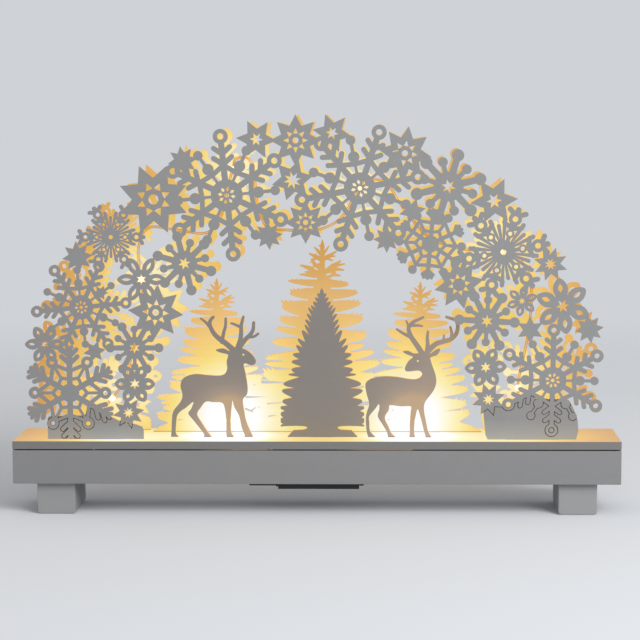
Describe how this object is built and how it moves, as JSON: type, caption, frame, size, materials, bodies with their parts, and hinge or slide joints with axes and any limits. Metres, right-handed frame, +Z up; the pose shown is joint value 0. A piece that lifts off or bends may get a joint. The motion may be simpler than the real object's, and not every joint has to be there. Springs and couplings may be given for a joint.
{
  "type": "light-up snowflake arch",
  "caption": "Free-standing box base that carries cut-out snowflake arches, deer and trees, lit from behind by small battery lamps.",
  "frame": {"origin": "centre of the footprint on the surface that it stands on", "axes": "+X along the base to the right as seen from the front, +Y from the front to the back, +Z up"},
  "size_m": [0.45, 0.06, 0.2958],
  "materials": {
    "grey_paint": "thin matt grey paint on 3 mm plywood",
    "lit_paint": "the same paint, warm where the lamps light it",
    "base_paint": "thin matt grey paint, plywood layers show on cut edges",
    "lead_sleeve": "thin clear plastic sleeve over a copper lead",
    "lamp_resin": "clear resin bead over a warm white lamp",
    "case_plastic": "moulded black plastic",
    "cell_sleeve": "plain printed sleeve with no lettering",
    "nickel_sheet": "nickel-plated spring steel",
    "zinc_screw": "zinc-plated steel"
  },
  "bodies": {
    "root": {"front_arch": "grey_paint", "back_arch": "lit_paint", "tree_panel": "lit_paint", "centre_tree": "grey_paint", "deer_left": "grey_paint", "deer_right": "grey_paint", "arch_lead": "lead_sleeve", "deer_lead_left": "lead_sleeve", "deer_lead_right": "lead_sleeve", "lamp_1": "lamp_resin", "lamp_2": "lamp_resin", "lamp_3": "lamp_resin", "lamp_4": "lamp_resin", "lamp_5": "lamp_resin", "lamp_6": "lamp_resin", "lamp_7": "lamp_resin", "lamp_8": "lamp_resin", "top_board": "base_paint", "bottom_board": "base_paint", "front_board": "base_paint", "back_board": "base_paint", "end_board_left": "base_paint", "end_board_right": "base_paint", "foot_left": "base_paint", "foot_right": "base_paint", "foot_screw_1": "zinc_screw", "foot_screw_2": "zinc_screw", "foot_screw_3": "zinc_screw", "foot_screw_4": "zinc_screw", "battery_case": "case_plastic", "switch_body": "nickel_sheet", "case_screw_1": "zinc_screw", "case_screw_2": "zinc_screw", "battery_1": "cell_sleeve", "battery_2": "cell_sleeve", "battery_3": "cell_sleeve", "contact_positive": "nickel_sheet", "contact_negative": "nickel_sheet", "contact_bridge_left": "nickel_sheet", "contact_bridge_right": "nickel_sheet"},
    "battery_cover": {"battery_cover": "case_plastic"},
    "switch_slider": {"switch_slider": "case_plastic"}
  },
  "joints": [
    {"name": "cover_slide", "type": "slide", "parent": "root", "child": "battery_cover", "axis": [1, 0, 0], "range_m": [0, 0.058]},
    {"name": "switch_slide", "type": "slide", "parent": "root", "child": "switch_slider", "axis": [0, 1, 0], "range_m": [0, 0.004]}
  ]
}
